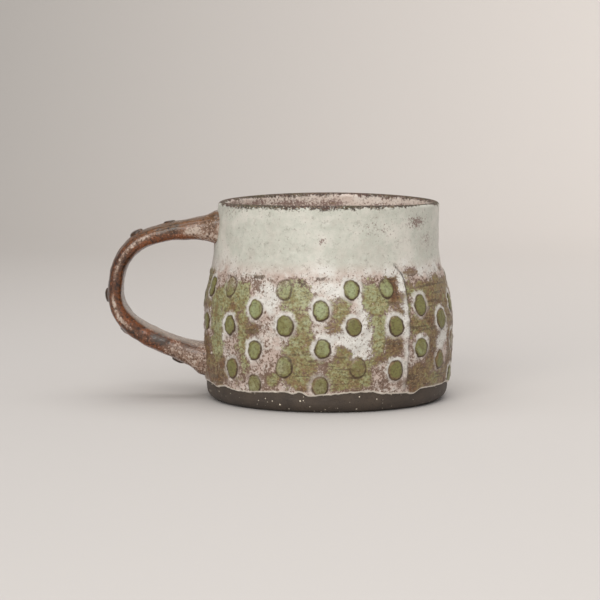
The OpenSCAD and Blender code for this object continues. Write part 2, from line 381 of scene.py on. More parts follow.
def celadonCollar():
    # stoneware glaze, dipped and fired to a satin: pale grey-green, cloudy, a soft wide shine
    glaze, tree, at = newMaterial("satinCeladonGlaze")
    fine, mid = glazeGrain(tree, at)
    colour, crack = collarColour(tree, at, fine, mid)
    colour, lip = lipAndStains(tree, at, colour)
    # painted shade: dark colour where the lap's slit stays open
    slitShade = paintedOn(tree, "slitShade")["slitShade"]
    colour = addNode(tree, "MixRGB", {"Fac": slitShade, "Color1": colour, "Color2": paint["slitShade"]})
    peel = addNode(tree, "TexNoise", {"Vector": at, "Scale": perMm(celadon["peel"]),
                                      "Detail": 4, "Roughness": 0.6})
    height = addNode(tree, "Math", {0: peel, 1: crack}, operation="SUBTRACT")
    smooth, dull = celadon["roughness"]
    rough = addNode(tree, "MapRange", {"Value": peel, "From Min": 0.3, "From Max": 0.7,
                                       "To Min": smooth, "To Max": dull})
    rough = addNode(tree, "Math", {0: lip, 1: celadon["lipRoughness"], 2: rough}, operation="MULTIPLY_ADD")
    finishMaterial(tree, colour, height, celadon, {"Roughness": rough, "IOR": celadon["ior"]})
    return glaze


wallGlaze = dict(
    cloud=6, dragGrain=1.0, dragLine=1.4,                   # mm
    dragGrainPull=(0.55, 0.55, 1.3), dragLinePull=(0.09, 0.09, 1.0),    # drawn out sideways
    bumpDepth=0.22, bumpStrength=0.75, roughness=(0.3, 0.52), ior=1.5,
)


def layeredWall():
    # white glaze trailed over green on iron clay: creamy and speckled in the hollows, thin
    # green to brown where it breaks over the raised dots and patches
    glaze, tree, at = newMaterial("layeredWhiteOverGreenGlaze")
    painted = paintedOn(tree, "grit", "cool", "tone", "patchOff", "dotOff", "ring", "dotTone", "dotShow",
                        "dotLineAndShade", "brownMark", "flap", "aboveEdge", "collarward", "slitShade")
    fine, mid = glazeGrain(tree, at)
    broad = addNode(tree, "TexNoise", {"Vector": at, "Scale": perMm(wallGlaze["cloud"]),
                                       "Detail": 5, "Roughness": 0.65})
    grit = addNode(tree, "Math", {0: painted["grit"], 1: 0.2}, operation="MULTIPLY")
    cool = addNode(tree, "Math", {0: painted["cool"], 1: 0.2}, operation="MULTIPLY")
    colour = whiteGlaze(tree, at, fine, mid, grit, cool)

    # green to brown: one range along the tone, dragged sideways, with dark and pale grains
    dragged = addNode(tree, "Mapping", {"Vector": at, "Scale": wallGlaze["dragGrainPull"]})
    dragged = addNode(tree, "TexNoise", {"Vector": dragged, "Scale": perMm(wallGlaze["dragGrain"]),
                                         "Detail": 4, "Roughness": 0.7})
    tone = addNode(tree, "Math", {0: mid, 1: dragged}, operation="ADD")
    tone = addNode(tree, "Math", {0: tone, 1: 2.1, 2: painted["tone"]}, operation="MULTIPLY_ADD")
    tone = addNode(tree, "Math", {0: broad, 1: 1.4, 2: tone}, operation="MULTIPLY_ADD")
    tone = addNode(tree, "MapRange", {"Value": tone, "From Min": 2.5, "From Max": 4.2})
    patch = addNode(tree, "ValToRGB", {"Fac": tone}, stops=[
        (0.1, paint["green"]), (0.9, paint["umber"]), (0.36, paint["olive"]), (0.62, paint["brown"])])
    warm = addNode(tree, "MapRange", {"Value": broad, "From Min": 0.5, "From Max": 0.62, "To Max": 0.5})
    warm = addNode(tree, "Math", {0: warm, 1: painted["tone"]}, operation="MULTIPLY")
    patch = addNode(tree, "MixRGB", {"Fac": warm, "Color1": patch, "Color2": paint["rust"]})
    grains = addNode(tree, "MapRange", {"Value": fine, "From Min": 0.51, "From Max": 0.62, "To Max": 0.6})
    patch = addNode(tree, "MixRGB", {"Fac": grains, "Color1": patch, "Color2": paint["umber"]})
    thin = addNode(tree, "Mapping", {"Vector": at, "Location": (0.01, 0, 0.02),
                                     "Scale": wallGlaze["dragLinePull"]})
    thin = addNode(tree, "TexNoise", {"Vector": thin, "Scale": perMm(wallGlaze["dragLine"]),
                                      "Detail": 2, "Roughness": 0.5})
    pale = addNode(tree, "Math", {0: thin, 1: 0.5, 2: fine}, operation="MULTIPLY_ADD")
    pale = addNode(tree, "MapRange", {"Value": pale, "From Min": 0.66, "From Max": 0.56, "To Max": 0.55})
    patch = addNode(tree, "MixRGB", {"Fac": pale, "Color1": patch, "Color2": paint["bare"]})
    # long dark lines, only where the tone is brown
    scrape = addNode(tree, "MapRange", {"Value": thin, "From Min": 0.42, "From Max": 0.37, "To Max": 0.62})
    brownHere = addNode(tree, "MapRange", {"Value": painted["tone"], "From Min": 0.22, "From Max": 0.42})
    scrape = addNode(tree, "Math", {0: scrape, 1: brownHere}, operation="MULTIPLY")
    patch = addNode(tree, "MixRGB", {"Fac": scrape, "Color1": patch, "Color2": paint["drag"]})

    # ragged border of the patches, with a brown fringe
    ragged = addNode(tree, "Math", {0: fine, 1: mid}, operation="ADD")
    ragged = addNode(tree, "Math", {0: ragged, 1: 1.0}, operation="SUBTRACT")
    ragged = addNode(tree, "Math", {0: ragged, 1: 8.0, 2: painted["patchOff"]}, operation="MULTIPLY_ADD")
    fringe = addNode(tree, "MapRange", {"Value": ragged, "From Min": 2.4, "From Max": 0.4})
    fringe = addNode(tree, "Math", {0: fringe, 1: 0.16, 2: fine}, operation="MULTIPLY_ADD")
    fringe = addNode(tree, "MapRange", {"Value": fringe, "From Min": 0.58, "From Max": 0.66,
                                        "To Max": 0.85})
    colour = addNode(tree, "MixRGB", {"Fac": fringe, "Color1": colour, "Color2": paint["speck"]})
    cover = addNode(tree, "MapRange", {"Value": ragged, "From Min": 0.25, "From Max": -0.25})
    colour = addNode(tree, "MixRGB", {"Fac": cover, "Color1": colour, "Color2": patch})

    # bright rim of thick glaze round each dot, uneven, with a painted highlight: the rim is painted
    # stronger on the upper left, the side towards the light
    dotOff = addNode(tree, "Math", {0: fine, 1: 0.5}, operation="SUBTRACT")
    dotOff = addNode(tree, "Math", {0: dotOff, 1: 0.9, 2: painted["dotOff"]}, operation="MULTIPLY_ADD")
    halo = addNode(tree, "Math", {0: mid, 1: 6.0, 2: dotOff}, operation="MULTIPLY_ADD")
    halo = addNode(tree, "MapRange", {"Value": halo, "From Min": 5.1, "From Max": 3.8, "To Max": 0.92})
    halo = addNode(tree, "Math", {0: halo, 1: painted["ring"]}, operation="MULTIPLY")
    colour = addNode(tree, "MixRGB", {"Fac": halo, "Color1": colour, "Color2": paint["cool"]})

    # the dot: clear green in the middle, olive and brown along its edge
    dotTone = addNode(tree, "Math", {0: broad, 1: mid}, operation="ADD")
    dotTone = addNode(tree, "Math", {0: dotTone, 1: 1.1, 2: painted["dotTone"]}, operation="MULTIPLY_ADD")
    rimward = addNode(tree, "MapRange", {"Value": dotOff, "From Min": -1.5, "From Max": -0.2,
                                         "To Max": 0.45})
    dotTone = addNode(tree, "Math", {0: dotTone, 1: rimward}, operation="ADD")
    dotTone = addNode(tree, "MapRange", {"Value": dotTone, "From Min": 0.9, "From Max": 2.4})
    dot = addNode(tree, "ValToRGB", {"Fac": dotTone}, stops=[
        (0.05, paint["dotGreen"]), (0.9, paint["brown"]), (0.4, paint["dotOlive"]),
        (0.65, paint["deepGreen"])])
    dotGrains = addNode(tree, "Math", {0: grains, 1: 0.8}, operation="MULTIPLY")
    dot = addNode(tree, "MixRGB", {"Fac": dotGrains, "Color1": dot, "Color2": paint["umber"]})
    inside = addNode(tree, "MapRange", {"Value": dotOff, "From Min": 0.12, "From Max": -0.12})
    inside = addNode(tree, "Math", {0: inside, 1: painted["dotShow"]}, operation="MULTIPLY")
    colour = addNode(tree, "MixRGB", {"Fac": inside, "Color1": colour, "Color2": dot})
    # a dark brown line at the dot's edge where the glaze breaks thin, with painted shade: it is heavier
    # below and to the right, away from the light
    dotRimAndShade = addNode(tree, "Math", {0: dotOff, 1: 0.1}, operation="ADD")
    dotRimAndShade = addNode(tree, "Math", {0: dotRimAndShade}, operation="ABSOLUTE")
    dotRimAndShade = addNode(tree, "MapRange", {"Value": dotRimAndShade, "From Min": 0.5, "From Max": 0.2})
    dotRimAndShade = addNode(tree, "Math", {0: dotRimAndShade, 1: painted["dotLineAndShade"]}, operation="MULTIPLY")
    colour = addNode(tree, "MixRGB", {"Fac": dotRimAndShade, "Color1": colour, "Color2": paint["umber"]})

    # brown marks, painted shade in the open slit of the lap, and the cream bead at the lower edge
    brownish = addNode(tree, "Math", {0: fine, 1: 1.1, 2: painted["brownMark"]}, operation="MULTIPLY_ADD")
    brownish = addNode(tree, "MapRange", {"Value": brownish, "From Min": 0.85, "From Max": 1.1,
                                          "To Max": 0.9})
    colour = addNode(tree, "MixRGB", {"Fac": brownish, "Color1": colour, "Color2": paint["umber"]})
    flap = addNode(tree, "Math", {0: painted["flap"], 1: 0.8}, operation="MULTIPLY")
    colour = addNode(tree, "MixRGB", {"Fac": flap, "Color1": colour, "Color2": paint["cool"]})
    bead = addNode(tree, "MapRange", {"Value": painted["aboveEdge"], "From Min": 0.9, "From Max": 0.45})
    colour = addNode(tree, "MixRGB", {"Fac": bead, "Color1": colour, "Color2": paint["bead"]})

    # the collar's glaze comes down over the top of the wall
    collar, _ = collarColour(tree, at, fine, mid)
    lap = addNode(tree, "Math", {0: mid, 1: 3.0, 2: painted["collarward"]}, operation="MULTIPLY_ADD")
    lap = addNode(tree, "MapRange", {"Value": lap, "From Min": 1.85, "From Max": 2.25})
    brownish = addNode(tree, "Math", {0: brownish, 1: lap}, operation="MULTIPLY")
    colour = addNode(tree, "MixRGB", {"Fac": lap, "Color1": colour, "Color2": collar})
    colour = addNode(tree, "MixRGB", {"Fac": brownish, "Color1": colour, "Color2": paint["hidden"]})
    colour = addNode(tree, "MixRGB", {"Fac": painted["slitShade"], "Color1": colour, "Color2": paint["slitShade"]})

    smooth, dull = wallGlaze["roughness"]
    rough = addNode(tree, "MapRange", {"Value": mid, "From Min": 0.3, "From Max": 0.7,
                                       "To Min": smooth, "To Max": dull})
    height = addNode(tree, "Math", {0: fine, 1: mid}, operation="ADD")
    finishMaterial(tree, colour, height, wallGlaze, {"Roughness": rough, "IOR": wallGlaze["ior"]})
    return glaze


linerGlaze = dict(cloud=9, grain=0.8, bumpDepth=0.1, bumpStrength=0.5, roughness=(0.26, 0.4),
                  lipRoughness=0.55, ior=1.5)


def linerWash():
    # the same white glaze poured inside, where it thins to pink over the iron clay
    glaze, tree, at = newMaterial("pouredLinerGlaze")
    cloud = addNode(tree, "TexNoise", {"Vector": at, "Scale": perMm(linerGlaze["cloud"]),
                                       "Detail": 5, "Roughness": 0.65})
    colour = addNode(tree, "ValToRGB", {"Fac": cloud}, stops=[
        (0.35, paint["linerPink"]), (0.65, paint["liner"])])
    grain = addNode(tree, "TexNoise", {"Vector": at, "Scale": perMm(linerGlaze["grain"]),
                                       "Detail": 4, "Roughness": 0.7})
    grit = addNode(tree, "MapRange", {"Value": grain, "From Min": 0.58, "From Max": 0.68, "To Max": 0.5})
    colour = addNode(tree, "MixRGB", {"Fac": grit, "Color1": colour, "Color2": paint["linerBrown"]})
    colour, lip = lipAndStains(tree, at, colour)
    smooth, dull = linerGlaze["roughness"]
    rough = addNode(tree, "MapRange", {"Value": cloud, "From Min": 0.3, "From Max": 0.7,
                                       "To Min": smooth, "To Max": dull})
    rough = addNode(tree, "Math", {0: lip, 1: linerGlaze["lipRoughness"], 2: rough},
                    operation="MULTIPLY_ADD")
    finishMaterial(tree, colour, grain, linerGlaze, {"Roughness": rough, "IOR": linerGlaze["ior"]})
    return glaze


strapGlaze = dict(
    dark="#271913", brown="#583520", rust="#834a26", olive="#5c4520",
    cream="#cdc2b6", pink="#b7a597", milk="#927562", pale="#b0a393", slate="#474440",
    fine=0.95, mid=2.4,                 # mm
    bumpDepth=0.14, bumpStrength=0.6, roughness=(0.24, 0.45), ior=1.52,
)


def rustStrap():
    # iron glaze over dark clay, fired glossy: rust where thin, black-brown where thick,
    # with cream grains where the white glaze was wiped along the sides, and a painted highlight: a soft
    # milky streak along the strap stands for its glossy shine
    glaze, tree, at = newMaterial("rustIronGlaze")
    painted = paintedOn(tree, "rusty", "mossy", "milky", "pale", "slate")
    fine = addNode(tree, "TexNoise", {"Vector": at, "Scale": perMm(strapGlaze["fine"]),
                                      "Detail": 3, "Roughness": 0.75})
    mid = addNode(tree, "TexNoise", {"Vector": at, "Scale": perMm(strapGlaze["mid"]),
                                     "Detail": 5, "Roughness": 0.7})
    heat = addNode(tree, "Math", {0: mid, 1: fine}, operation="ADD")
    heat = addNode(tree, "Math", {0: heat, 1: 2.2, 2: painted["rusty"]}, operation="MULTIPLY_ADD")
    heat = addNode(tree, "MapRange", {"Value": heat, "From Min": 1.7, "From Max": 3.1})
    colour = addNode(tree, "ValToRGB", {"Fac": heat}, stops=[
        (0.12, strapGlaze["dark"]), (0.9, strapGlaze["rust"]), (0.5, strapGlaze["brown"])])
    tint = addNode(tree, "Math", {0: painted["mossy"], 1: mid}, operation="MULTIPLY")
    colour = addNode(tree, "MixRGB", {"Fac": tint, "Color1": colour, "Color2": strapGlaze["olive"]})
    # painted highlight: a soft milky colour along the streak stands for the shine of the glossy glaze
    soft = addNode(tree, "MapRange", {"Value": painted["milky"], "From Min": 0.08, "From Max": 0.4,
                                      "To Max": 0.85})
    colour = addNode(tree, "MixRGB", {"Fac": soft, "Color1": colour, "Color2": strapGlaze["milk"]})
    milk = addNode(tree, "Math", {0: fine, 1: 1.6, 2: mid}, operation="MULTIPLY_ADD")
    milk = addNode(tree, "Math", {0: milk, 1: painted["milky"]}, operation="ADD")
    milk = addNode(tree, "MapRange", {"Value": milk, "From Min": 1.6, "From Max": 1.84, "To Max": 0.8})
    cream = addNode(tree, "MixRGB", {"Fac": mid, "Color1": strapGlaze["cream"],
                                     "Color2": strapGlaze["pink"]})
    colour = addNode(tree, "MixRGB", {"Fac": milk, "Color1": colour, "Color2": cream})
    grain = addNode(tree, "MapRange", {"Value": fine, "From Min": 0.45, "From Max": 0.37, "To Max": 0.85})
    colour = addNode(tree, "MixRGB", {"Fac": grain, "Color1": colour, "Color2": strapGlaze["dark"]})
    # pale inner edge of the lower half: partly pale glaze, partly a painted reflection
    colour = addNode(tree, "MixRGB", {"Fac": painted["pale"], "Color1": colour,
                                      "Color2": strapGlaze["pale"]})
    colour = addNode(tree, "MixRGB", {"Fac": painted["slate"], "Color1": colour,
                                      "Color2": strapGlaze["slate"]})
    smooth, dull = strapGlaze["roughness"]
    rough = addNode(tree, "MapRange", {"Value": milk, "To Min": smooth, "To Max": dull})
    height = addNode(tree, "Math", {0: fine, 1: mid}, operation="ADD")
    finishMaterial(tree, colour, height, strapGlaze, {"Roughness": rough, "IOR": strapGlaze["ior"]})
    return glaze


clayFinish = bareStoneware()
collarFinish = celadonCollar()
wallFinish = layeredWall()
linerFinish = linerWash()
strapFinish = rustStrap()
print("materials ready")


footSlab = dict(around=360, edgeSteps=12, hub=2, roughness=0.12, lumpSize=5)


def makeFoot():
    rim = float(clayR(form["edgeH"]))
    edge = [(rim - form["edgeW"] * (1 - math.sin(a)), form["edgeH"] * (1 - math.cos(a)))
            for a in np.linspace(0, math.pi / 2, footSlab["edgeSteps"] + 1)]
    outline = [(footSlab["hub"], 0), (rim - form["edgeW"] - 1, 0)] + edge
    outline += face(clayR, form["edgeH"] + 0.5, form["ledgeZ"], 3)
    outline += face(innerR, form["ledgeZ"], form["floorZ"], 1) + [(footSlab["hub"], form["floorZ"])]
    rings = turned(outline, footSlab["around"])
    out = rings[..., :2] / np.maximum(1, np.linalg.norm(rings[..., :2], axis=-1, keepdims=True))
    outside = rampUp(np.hypot(rings[..., 0], rings[..., 1]), 40, 46) * rampUp(rings[..., 2], 0, 1.5) \
        * (rings[..., 2] < form["ledgeZ"] - 0.4)
    lumps = footSlab["roughness"] * lumpy(rings, footSlab["lumpSize"], 3)
    rings[..., :2] += out * (lumps * outside)[..., None]
    makePiece("footSlab", [rings], clayFinish, "base_slab", loop=False)


def makeWallClay():
    outline = face(clayR, form["ledgeZ"], form["seamZ"], 30) \
        + face(innerR, form["seamZ"] + form["scarfH"], form["ledgeZ"], 20)
    makePiece("wallClay", [turned(outline)], clayFinish, "wall_slab")


def makeCollarClay():
    outline = face(clayR, form["seamZ"], lipZ, 12) \
        + arc(lipMid, lipZ, form["lipT"] / 2, 20, 160, 6) \
        + face(innerR, lipZ, form["seamZ"] + form["scarfH"], 12)
    makePiece("collarClay", [turned(outline)], clayFinish, "collar_band")


def coilFace(grow=0.0):
    points = []
    for t in np.linspace(10, 90, 9):
        turn = math.radians(t)
        z = form["floorZ"] + form["coilR"] * (1 - math.sin(turn))
        points.append((float(innerR(z)) - form["coilR"] * (1 - math.cos(turn)) - grow * math.cos(turn),
                       z + grow * math.sin(turn)))
    return points


def makeCoil():
    outline = face(innerR, form["floorZ"], form["floorZ"] + form["coilR"], 4) + coilFace()
    makePiece("cornerCoil", [turned(outline)], clayFinish, "corner_coil")


makeFoot()
makeWallClay()
makeCollarClay()
makeCoil()


# angle from the front in degrees, height in mm, size, tone (0 green to 1 brown),
# strength of the white ring, and how much of the dot shows
wallDots = [
    (-75.5, 32, 1, 0.45, 0.6, 1), (-72, 46.2, 1, 0.4, 1, 1), (-53.5, 47.2, 1.05, 0.6, 0.2, 0.55),
    (-51.5, 32.5, 1, 0.25, 1, 1), (-49, 15.8, 1, 0.55, 0.5, 1), (-35.5, 39.6, 1, 0.05, 1, 1),
    (-35.5, 23.8, 1, 0.12, 1, 1), (-35.5, 10.4, 1, 0.4, 0.1, 0.9), (-21.3, 47.6, 1.05, 0.1, 0.0, 0.45),
    (-20.3, 33.8, 1.08, 0.38, 1, 1), (-20.5, 17.9, 1.1, 0.15, 0.0, 0.8), (-3.8, 40, 1, 0.0, 1, 1),
    (-3.2, 25.4, 1, 0.05, 1, 1), (-4.1, 10.7, 1, 0.6, 0.3, 0.9), (10.3, 47.8, 1, 0.1, 1, 1),
    (10.5, 33.8, 0.93, 0.62, 1, 1), (12.7, 17.7, 1, 0.6, 0.0, 0.55), (27.3, 48, 1, 0.0, 0.0, 0.85),
    (30.5, 33.3, 1, 0.45, 1, 1), (30.9, 16.3, 1, 0.66, 1, 1), (45.9, 40.7, 1.05, 0.4, 0.8, 1),
    (45.5, 24.2, 1, 0.2, 1, 1), (61.6, 34.2, 1.12, 0.6, 1, 1), (61, 18.3, 1, 0.66, 0.4, 1),
]
# angle, height, half width in degrees, half height in mm, tone
wallPatches = [
    (-76, 40, 5, 4, 0.75), (-77, 23, 5, 5, 0.8), (-62, 28, 5.5, 14, 0.1), (-60, 42, 11, 5, 0.2),
    (-46, 43.5, 6, 5.5, 0), (-49, 39.5, 4, 3, 0.85), (-42.5, 30, 3, 13, 0.2), (-38, 31.5, 3, 2, 0.85),
    (-64, 14, 12, 6, 0.85), (-15.5, 45, 7.5, 5, 0.1), (-13, 31, 4.6, 10, 0.2), (-14, 22, 7, 6, 0.35),
    (-11, 19, 8, 3.6, 0.48), (-14, 13, 6, 3.8, 0.5), (-26, 12.6, 3, 2.3, 0.3), (4, 40, 4.4, 4.6, 0.3),
    (1.5, 34.5, 2.6, 2.4, 0.8), (8, 15.2, 10, 5.8, 0.42), (5.5, 22.6, 3.4, 2.6, 0.6),
    (22, 43.5, 6.5, 6.4, 0.05), (22.3, 31, 3.2, 11, 0.1), (22.8, 21.4, 2.4, 2, 0.85),
    (30, 45, 2.8, 7.5, 1), (29, 25.5, 4.6, 4.4, 0.85), (39, 44, 1.2, 8, 0.25), (61, 44.5, 20, 5.4, 0.6),
    (47.5, 34, 9, 5.4, 0.6), (53, 28, 5, 9, 0.95), (72, 38, 9, 7, 0.7), (77, 24, 7, 15, 0.8),
    (45, 13, 8, 5.4, 0.9), (56, 11, 8, 3.6, 0.5), (53, 18, 5, 3.6, 0.8), (72, 12, 10, 5, 0.85),
]
# angle, height, half widths in mm: grit in the white glaze above 0, smooth and cool below 0
wallGrit = [
    (-31, 16, 6, 6, 1), (-47, 22, 4, 8, 0.9), (-5, 16, 5, 7, 1), (22, 14, 7, 6, 1), (28, 25, 5, 5, 0.8),
    (-30, 32, 4, 5, 0.8), (-57, 50, 8, 3, 0.7), (36, 18, 3, 5, 0.9), (45, 18, 5, 2, 0.8),
    (2, 34, 3, 3, 0.7), (-75, 27, 5, 5, 0.8), (-30, 50, 9, 3, 0.6), (5, 51, 12, 2, 0.5),
    (66, 22, 4, 3, 0.4), (12, 26, 6, 8, -1), (-27, 43, 4, 5, -0.6), (-29, 30, 5, 6, 0.9),
    (-50, 26, 3, 3, 0.8), (-57, 30, 1.8, 9, -1), (36, 40, 1.6, 12, -1), (-26, 26, 4, 6, 0.2),
    (2, 30, 4, 3, -0.8), (26, 34, 2, 6, -0.8), (3, 47, 6, 3, -0.9), (16, 40, 2, 8, -1),
    (61, 26, 6, 4, -0.8),
]
# lower halves of dots whose tops the collar has smoothed away: angle, height, half width in mm, strength
hiddenDots = [(-35.5, 53.2, 3.8, 0.6), (-3.7, 53.2, 2.6, 0.5), (43.6, 54.3, 4.8, 1), (74.5, 54.3, 3.8, 0.7)]
# angle, height, half width and half height in mm, strength
brownSpots = [
    (-13, 50.5, 3, 2, 0.5), (-57, 51, 2, 1.6, 0.45), (23, 12, 4, 2, 0.35), (-44, 51, 1, 2, 0.5),
    (36, 18, 1, 2, 0.5), (32.5, 46, 0.9, 5, 0.45), (-42, 12, 3, 3, 0.3), (25, 51, 2.4, 1.6, 0.4),
]

# heights, widths and rises in mm, angles in degrees
wallCoat = dict(
    around=720, rowStep=0.44, closeRows=[0, 0.1, 0.25, 0.45, 0.7, 1.0, 1.35],
    dotW=3.1, dotH=3.8, dotWarp=0.26, dotRise=0.5, dotMoat=0.16, ringRise=0.08,
    patchRise=0.14, patchRidge=0.2, patchWarp=1.3, lumps=0.34, fineLumps=0.09, plainGrit=0.42,
    edgeZ=7.3, edgeWander=0.6, edgeNotches=0.16, edgeLimits=(5.9, 8.8), beadRise=0.08,
    edgeAngle=[-80, -68, -63, -55, -48, -40, -30, -20, -16, -13, -9, -2, 10, 20, 25, 38, 42, 48, 64,
               74, 82],
    edgeHeight=[8.6, 7.5, 6.8, 7.7, 6.8, 6.8, 7.5, 7.9, 7.3, 8.1, 6.7, 7.1, 8.0, 8.2, 7.0, 6.7, 5.9,
                7.7, 7.5, 7.9, 7.3],
    lapZ=[8, 13, 21, 30, 38, 45, 52, 57.5], lapAngle=[36.2, 36.4, 37, 36.8, 37.5, 37.5, 36.8, 33],
    lapRise=0.7, lapWide=4.2, lapGroove=0.35,
)


# dots and patches for the side away from the front, in the same rows as the front
def hiddenSide():
    dice = np.random.default_rng(7)
    dots, patches = [], []
    for k in range(13):
        angle = 77 + 16 * k
        for z in ((48, 33.6, 17.6) if k % 2 else (40, 24.6, 10.6)):
            if abs(angle - 270) < 15 and z < 26:
                continue        # the lower root of the handle covers these
            tone = dice.uniform(0, 0.6)
            ring, show = dice.choice([0.0, 1, 1, 1]), dice.choice([0.5, 1, 1, 1])
            dots.append((angle + dice.uniform(-1.2, 1.2), z + dice.uniform(-0.8, 0.8),
                         dice.uniform(0.94, 1.1), tone, ring, show))
    for k in range(26):
        patches.append((dice.uniform(92, 280), dice.uniform(10, 49), dice.uniform(2.5, 9),
                        dice.uniform(3, 9), dice.uniform(0.1, 0.85)))
    return dots, patches


# distance in mm round the wall from a place, either way
def arcOff(angle, centre):
    return ((angle - centre + 180) % 360 - 180) * math.pi / 180 * form["arcR"]


# everything the wall's relief and its colours need, at each point
def wallFields(angle, z):
    flat = onBody(angle, z, skinR(z))
    warpA, warpB = lumpy(flat, 3.5, 3, 3.1), lumpy(flat, 3.5, 3, 9.7)
    moreDots, morePatches = hiddenSide()
    far = np.full(angle.shape, 9.0)         # mm; further than any dot or patch reaches
    dotOff, halo, patchOff = far, far, far
    shade, tone, ring, show = (np.zeros(angle.shape) for _ in range(4))
    for a, h, size, dotTone, ringAt, shown in wallDots + moreDots:
        u, v = arcOff(angle, a) + wallCoat["dotWarp"] * warpA, z - h + wallCoat["dotWarp"] * warpB
        w, t = wallCoat["dotW"] * size, wallCoat["dotH"] * size
        rho = np.sqrt((u / w) ** 2 + (v / t) ** 2) + 1e-6
        d = (rho - 1) * np.hypot(u, v) / rho
        near = d < dotOff
        dotOff = np.where(near, d, dotOff)
        # painted shade: each dot's dark edge line is made heavier below and to the right, the side of the
        # raised dot away from the light
        shade = np.where(near, (0.6 * u - 0.8 * v) / t, shade)      # darker below and to the right
        tone, ring, show = (np.where(near, new, old) for new, old in
                            ((dotTone, tone), (ringAt, ring), (shown, show)))
        if ringAt > 0.2:
            halo = np.minimum(halo, d)
    patchTone, weights = np.zeros(angle.shape), np.full(angle.shape, 1e-6)
    for a, h, wide, high, toneHere in wallPatches + morePatches:
        u, v = arcOff(angle, a) / (wide * 0.85), (z - h) / high
        rho = (np.abs(u) ** 2.6 + np.abs(v) ** 2.6) ** (1 / 2.6)
        d = (rho - 1) * min(wide * 0.85, high)
        patchOff = np.minimum(patchOff, d)
        w = np.exp(-np.clip(d, -3, 12) / 1.2)
        patchTone += w * toneHere
        weights += w
    patchTone /= weights
    patchOff = patchOff + wallCoat["patchWarp"] * lumpy(flat, 4.5, 4, 1.3)
    patchOff = np.maximum(patchOff, 1.0 + 1.2 * warpB - halo)
    lapAt = arcOff(angle, eased(z, wallCoat["lapZ"], wallCoat["lapAngle"]))
    lapOn = rampUp(z, 6, 10) * rampUp(z, 58.5, 56)
    brown = np.zeros(angle.shape)
    for a, h, wide, high, strength in brownSpots:
        rho = (arcOff(angle, a) / wide) ** 2 + ((z - h) / high) ** 2
        brown = np.maximum(brown, strength * np.exp(-rho * 0.8))
    for a, h, wide, strength in hiddenDots:
        u, v = arcOff(angle, a) / wide, (z - h) / 2.4
        brown = np.maximum(brown, strength * rampUp(np.hypot(u, v), 1.15, 0.75) * rampUp(v, 0.1, -0.3))
    grit = np.full(angle.shape, wallCoat["plainGrit"])
    for a, h, wide, high, amount in wallGrit:
        rho = (arcOff(angle, a) / wide) ** 2 + ((z - h) / high) ** 2
        grit += (amount - grit) * np.exp(-rho * 0.7)
    return dict(flat=flat, dotOff=dotOff, shade=shade, tone=tone, ring=ring, show=show,
                patchOff=patchOff, patchTone=patchTone, lapAt=lapAt, lapOn=lapOn, brown=brown, grit=grit)


# height at which the outer glaze stops above the bare foot
def lowerEdge(angle):
    here = onBody(angle, 7.5, 48.0)
    turn = (angle + 180) % 360 - 180
    front = eased(np.clip(turn, -80, 82), wallCoat["edgeAngle"], wallCoat["edgeHeight"])
    wander = wallCoat["edgeZ"] + lumpy(here, 11, 3, 5.5) * wallCoat["edgeWander"]
    mix = rampUp(np.abs(turn), 70, 82)
    notches = wallCoat["edgeNotches"] * lumpy(here, 1.6, 2, 2.5)
    return np.clip(front + (wander - front) * mix + notches, *wallCoat["edgeLimits"])


